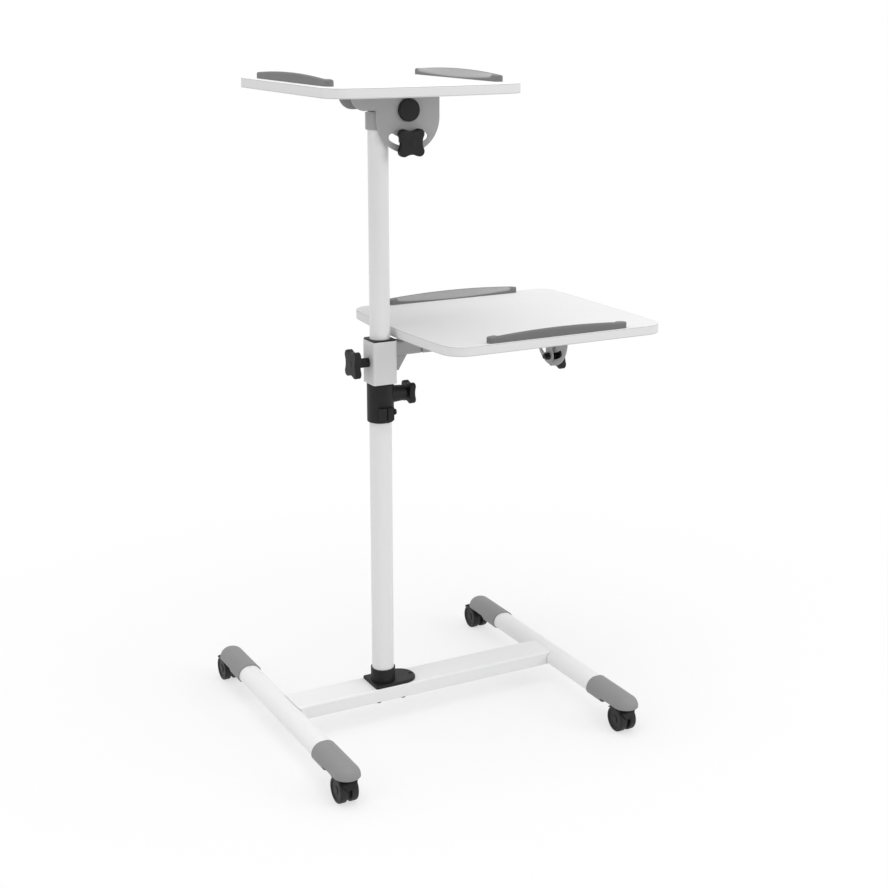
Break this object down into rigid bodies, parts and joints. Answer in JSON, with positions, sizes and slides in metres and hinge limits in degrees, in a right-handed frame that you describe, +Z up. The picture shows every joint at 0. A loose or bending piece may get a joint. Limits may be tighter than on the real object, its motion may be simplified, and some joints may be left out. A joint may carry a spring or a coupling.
{
  "type": "audio visual cart",
  "caption": "Mobile stand with a telescoping column on an H-shaped caster base, an upper tilting shelf over the column and a lower swivelling shelf at its side.",
  "frame": {"origin": "middle of the footprint on the floor, under the wheels", "axes": "+Z up along the column, +X along the cross beam towards the side with the lower shelf, +Y along the side tubes to the rear"},
  "size_m": [0.6558, 0.57, 1.119],
  "materials": {
    "white_steel": "white powder coat, satin",
    "grey_steel": "mid grey powder coat, fine texture",
    "plain_steel": "zinc-plated",
    "dark_fastener": "black oxide",
    "white_board": "white melamine on particle board, matching edge band",
    "grey_plastic": "moulded grey plastic, fine grain",
    "black_plastic": "moulded black plastic, fine grain",
    "caster_pin": "zinc-plated",
    "caster_wheel": "black nylon tread"
  },
  "bodies": {
    "base": {"left_side_tube": "white_steel", "right_side_tube": "white_steel", "cross_beam": "white_steel", "left_joint_block": "plain_steel", "right_joint_block": "plain_steel", "joint_screws": "dark_fastener", "front_left_end_cap": "grey_plastic", "front_right_end_cap": "grey_plastic", "rear_left_end_cap": "grey_plastic", "rear_right_end_cap": "grey_plastic", "end_cap_screws": "dark_fastener", "column_foot": "black_plastic", "foot_bolts": "dark_fastener", "lower_column_tube": "white_steel", "clamp_collar": "black_plastic", "collar_pinch_screw": "dark_fastener"},
    "front_left_caster": {"front_left_caster_housing": "black_plastic", "front_left_caster_pins": "caster_pin"},
    "front_left_left_wheel": {"front_left_caster_left_wheel": "caster_wheel"},
    "front_left_right_wheel": {"front_left_caster_right_wheel": "caster_wheel"},
    "front_right_caster": {"front_right_caster_housing": "black_plastic", "front_right_caster_pins": "caster_pin"},
    "front_right_left_wheel": {"front_right_caster_left_wheel": "caster_wheel"},
    "front_right_right_wheel": {"front_right_caster_right_wheel": "caster_wheel"},
    "rear_left_caster": {"rear_left_caster_housing": "black_plastic", "rear_left_caster_pins": "caster_pin"},
    "rear_left_left_wheel": {"rear_left_caster_left_wheel": "caster_wheel"},
    "rear_left_right_wheel": {"rear_left_caster_right_wheel": "caster_wheel"},
    "rear_right_caster": {"rear_right_caster_housing": "black_plastic", "rear_right_caster_pins": "caster_pin"},
    "rear_right_left_wheel": {"rear_right_caster_left_wheel": "caster_wheel"},
    "rear_right_right_wheel": {"rear_right_caster_right_wheel": "caster_wheel"},
    "mast_guide": {"mast_guide_plug": "black_plastic"},
    "mast": {"mast_tube": "white_steel", "head_bracket": "grey_steel", "upper_pivot_bolt": "plain_steel", "upper_pivot_caps": "black_plastic", "upper_tilt_nut": "dark_fastener"},
    "upper_tray": {"upper_saddle": "grey_steel", "upper_shelf": "white_board", "upper_left_stop": "grey_plastic", "upper_right_stop": "grey_plastic", "upper_shelf_screws": "dark_fastener"},
    "upper_clamp": {"upper_tilt_knob": "black_plastic"},
    "collar_clamp": {"collar_knob": "black_plastic"},
    "glide": {"glide_ring": "black_plastic"},
    "sleeve": {"shelf_sleeve": "white_steel", "sleeve_bushes": "black_plastic", "shelf_arm": "grey_steel", "lower_pivot_shaft": "plain_steel", "lower_clamp_strap": "grey_steel", "lower_pivot_cap": "black_plastic", "lower_tilt_nut": "dark_fastener"},
    "sleeve_clamp": {"sleeve_knob": "black_plastic"},
    "lower_tray": {"lower_saddle": "grey_steel", "lower_shelf": "white_board", "lower_front_stop": "grey_plastic", "lower_rear_stop": "grey_plastic", "lower_shelf_screws": "dark_fastener"},
    "lower_clamp": {"lower_tilt_knob": "black_plastic"}
  },
  "joints": [
    {"name": "front_left_caster_swivel", "type": "hinge", "parent": "base", "child": "front_left_caster", "pos_m": [-0.30565, -0.267, 0.0481], "axis": [0, 0, 1], "continuous": true},
    {"name": "front_left_left_wheel_spin", "type": "hinge", "parent": "front_left_caster", "child": "front_left_left_wheel", "pos_m": [-0.30565, -0.253, 0.022], "axis": [1, 0, 0], "continuous": true},
    {"name": "front_left_right_wheel_spin", "type": "hinge", "parent": "front_left_caster", "child": "front_left_right_wheel", "pos_m": [-0.30565, -0.253, 0.022], "axis": [1, 0, 0], "continuous": true},
    {"name": "front_right_caster_swivel", "type": "hinge", "parent": "base", "child": "front_right_caster", "pos_m": [0.21935, -0.267, 0.0481], "axis": [0, 0, 1], "continuous": true},
    {"name": "front_right_left_wheel_spin", "type": "hinge", "parent": "front_right_caster", "child": "front_right_left_wheel", "pos_m": [0.21935, -0.253, 0.022], "axis": [1, 0, 0], "continuous": true},
    {"name": "front_right_right_wheel_spin", "type": "hinge", "parent": "front_right_caster", "child": "front_right_right_wheel", "pos_m": [0.21935, -0.253, 0.022], "axis": [1, 0, 0], "continuous": true},
    {"name": "rear_left_caster_swivel", "type": "hinge", "parent": "base", "child": "rear_left_caster", "pos_m": [-0.30565, 0.249, 0.0481], "axis": [0, 0, 1], "continuous": true},
    {"name": "rear_left_left_wheel_spin", "type": "hinge", "parent": "rear_left_caster", "child": "rear_left_left_wheel", "pos_m": [-0.30565, 0.263, 0.022], "axis": [1, 0, 0], "continuous": true},
    {"name": "rear_left_right_wheel_spin", "type": "hinge", "parent": "rear_left_caster", "child": "rear_left_right_wheel", "pos_m": [-0.30565, 0.263, 0.022], "axis": [1, 0, 0], "continuous": true},
    {"name": "rear_right_caster_swivel", "type": "hinge", "parent": "base", "child": "rear_right_caster", "pos_m": [0.21935, 0.249, 0.0481], "axis": [0, 0, 1], "continuous": true},
    {"name": "rear_right_left_wheel_spin", "type": "hinge", "parent": "rear_right_caster", "child": "rear_right_left_wheel", "pos_m": [0.21935, 0.263, 0.022], "axis": [1, 0, 0], "continuous": true},
    {"name": "rear_right_right_wheel_spin", "type": "hinge", "parent": "rear_right_caster", "child": "rear_right_right_wheel", "pos_m": [0.21935, 0.263, 0.022], "axis": [1, 0, 0], "continuous": true},
    {"name": "mast_height", "type": "slide", "parent": "base", "child": "mast_guide", "axis": [0, 0, 1], "range_m": [-0.11, 0.15]},
    {"name": "mast_swivel", "type": "hinge", "parent": "mast_guide", "child": "mast", "pos_m": [-0.11965, -0.009, 0.32], "axis": [0, 0, 1], "continuous": true},
    {"name": "upper_shelf_tilt", "type": "hinge", "parent": "mast", "child": "upper_tray", "pos_m": [-0.07715, -0.009, 1.0565], "axis": [0, 1, 0], "range_deg": [-25, 30]},
    {"name": "upper_knob_turn", "type": "hinge", "parent": "mast", "child": "upper_clamp", "pos_m": [-0.07715, -0.039, 1.0045], "axis": [0, -1, 0], "range_deg": [0, 360]},
    {"name": "collar_knob_turn", "type": "hinge", "parent": "base", "child": "collar_clamp", "pos_m": [-0.07665, -0.009, 0.582], "axis": [1, 0, 0], "range_deg": [0, 360]},
    {"name": "sleeve_swivel", "type": "hinge", "parent": "base", "child": "glide", "pos_m": [-0.11965, -0.009, 0.603], "axis": [0, 0, 1], "continuous": true},
    {"name": "sleeve_height", "type": "slide", "parent": "glide", "child": "sleeve", "axis": [0, 0, 1], "range_m": [0, 0.08]},
    {"name": "sleeve_knob_turn", "type": "hinge", "parent": "sleeve", "child": "sleeve_clamp", "pos_m": [-0.14165, -0.009, 0.6411], "axis": [-1, 0, 0], "range_deg": [0, 360]},
    {"name": "lower_shelf_tilt", "type": "hinge", "parent": "sleeve", "child": "lower_tray", "pos_m": [-0.04965, -0.009, 0.666], "axis": [1, 0, 0], "range_deg": [-25, 25]},
    {"name": "lower_knob_turn", "type": "hinge", "parent": "sleeve", "child": "lower_clamp", "pos_m": [0.21935, -0.009, 0.614], "axis": [1, 0, 0], "range_deg": [0, 360]}
  ]
}
